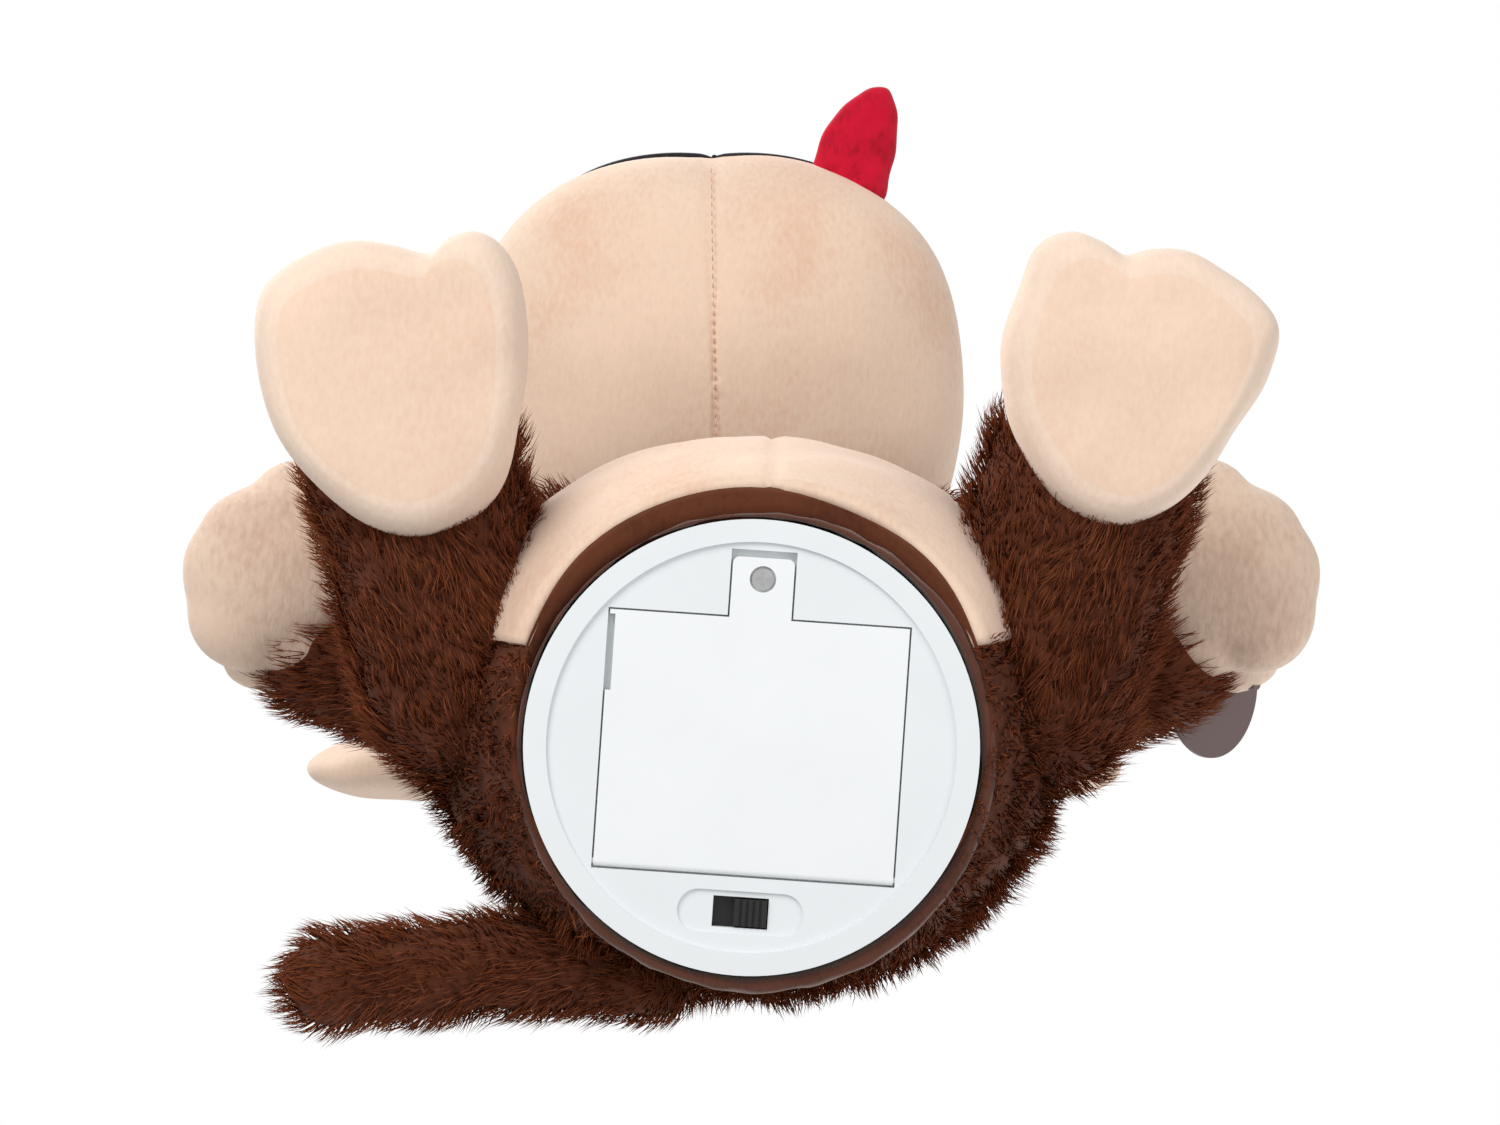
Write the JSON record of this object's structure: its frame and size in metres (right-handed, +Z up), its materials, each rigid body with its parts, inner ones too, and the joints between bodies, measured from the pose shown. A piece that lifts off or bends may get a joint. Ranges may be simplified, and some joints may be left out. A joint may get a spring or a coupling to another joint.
{
  "type": "cymbal-playing plush monkey",
  "caption": "Battery-powered plush monkey on a round base that swings its arms together to clash two small cymbals.",
  "frame": {"origin": "centre of the round base's underside, on the table", "axes": "+Z up, -Y the way the face and belly look, +X on the right of someone facing it"},
  "size_m": [0.2754, 0.2276, 0.2625],
  "materials": {
    "shell_plastic": "satin",
    "dark_plastic": "satin",
    "chassis_plastic": "satin",
    "gear_plastic": "satin",
    "steel": "satin",
    "board": "satin",
    "cell": "satin",
    "fur_brown": "matte",
    "pile_brown": "matte",
    "plush_cream": "matte",
    "plush_red": "matte",
    "stuffing": "matte",
    "eye_plastic": "gloss",
    "cymbal_plastic": "satin"
  },
  "bodies": {
    "base": {"arm_pins": "steel", "base_band": "pile_brown", "base_deck": "shell_plastic", "base_plate": "shell_plastic", "base_screws": "steel", "battery_cell_1": "cell", "battery_cell_2": "cell", "battery_cell_3": "cell", "belly_panel": "plush_cream", "body_cover": "fur_brown", "body_stuffing": "stuffing", "chassis_front": "chassis_plastic", "chassis_rear": "chassis_plastic", "chassis_screws": "steel", "circuit_board": "board", "contact_plates": "steel", "contact_springs": "steel", "foot_left": "plush_cream", "foot_right": "plush_cream", "gear_plate": "chassis_plastic", "leg_left": "fur_brown", "leg_right": "fur_brown", "lever_plate": "chassis_plastic", "motor": "steel", "neck_pin": "steel", "reduction_axle": "steel", "speaker": "dark_plastic", "switch_body": "dark_plastic", "tail": "fur_brown", "top_plate": "chassis_plastic"},
    "door": {"battery_door": "shell_plastic"},
    "door_fastener": {"door_screw": "steel"},
    "switch": {"switch_knob": "dark_plastic"},
    "motor_rotor": {"motor_pinion": "gear_plastic"},
    "reduction": {"reduction_gear": "gear_plastic"},
    "crank": {"crank_gear": "gear_plastic"},
    "yoke": {"clap_yoke": "gear_plastic"},
    "arm_left": {"arm_lever_left": "chassis_plastic", "hand_left": "plush_cream", "sleeve_left": "fur_brown", "cymbal_left": "cymbal_plastic", "cymbal_stud_left": "cymbal_plastic"},
    "arm_right": {"arm_lever_right": "chassis_plastic", "hand_right": "plush_cream", "sleeve_right": "fur_brown", "cymbal_right": "cymbal_plastic", "cymbal_stud_right": "cymbal_plastic"},
    "head": {"head_post": "chassis_plastic", "head_cover": "fur_brown", "head_stuffing": "stuffing", "muzzle": "plush_cream", "nose": "dark_plastic", "tongue": "plush_red", "eye_left": "eye_plastic", "eye_right": "eye_plastic", "ear_left": "plush_cream", "ear_right": "plush_cream"}
  },
  "joints": [
    {"name": "battery_door_hinge", "type": "hinge", "parent": "base", "child": "door", "pos_m": [-0.00184, 0.02694, 0.0022], "axis": [0.9977, 0.068, 0], "range_deg": [0, 95]},
    {"name": "door_screw_turn", "type": "hinge", "parent": "door", "child": "door_fastener", "pos_m": [0.00251, -0.03681, 0.002], "axis": [0, 0, 1], "continuous": true},
    {"name": "switch_slide", "type": "slide", "parent": "base", "child": "switch", "axis": [-0.9977, -0.068, 0], "range_m": [0, 0.0045]},
    {"name": "crank_turn", "type": "hinge", "parent": "base", "child": "crank", "pos_m": [0, 0.003, 0.09], "axis": [0, 0, 1], "continuous": true},
    {"name": "reduction_turn", "type": "hinge", "parent": "base", "child": "reduction", "pos_m": [0.01654, 0.00008, 0.09], "axis": [0, 0, 1], "continuous": true},
    {"name": "motor_turn", "type": "hinge", "parent": "base", "child": "motor_rotor", "pos_m": [0.01387, 0.01525, 0.08], "axis": [0, 0, 1], "continuous": true},
    {"name": "arm_right_swing", "type": "hinge", "parent": "base", "child": "arm_right", "pos_m": [0.034, 0.003, 0.1105], "axis": [0, 0, -1], "range_deg": [0, 60], "deforming": ["sleeve_right"]},
    {"name": "arm_left_swing", "type": "hinge", "parent": "base", "child": "arm_left", "pos_m": [-0.034, 0.003, 0.1105], "axis": [0, 0, 1], "range_deg": [0, 60], "deforming": ["sleeve_left"]},
    {"name": "yoke_slide", "type": "slide", "parent": "base", "child": "yoke", "axis": [0, 1, 0], "range_m": [0, 0.0102]},
    {"name": "head_sway", "type": "hinge", "parent": "base", "child": "head", "pos_m": [0, 0.003, 0.13], "axis": [0, 1, 0], "range_deg": [-5, 5]}
  ],
  "couplings": [
    {"joint": "reduction_turn", "follows": "crank_turn", "ratio": -3},
    {"joint": "motor_turn", "follows": "crank_turn", "ratio": 10.2},
    {"joint": "arm_left_swing", "follows": "arm_right_swing", "ratio": 1},
    {"joint": "yoke_slide", "follows": "arm_right_swing", "m_per_rad": 0.0095493}
  ]
}
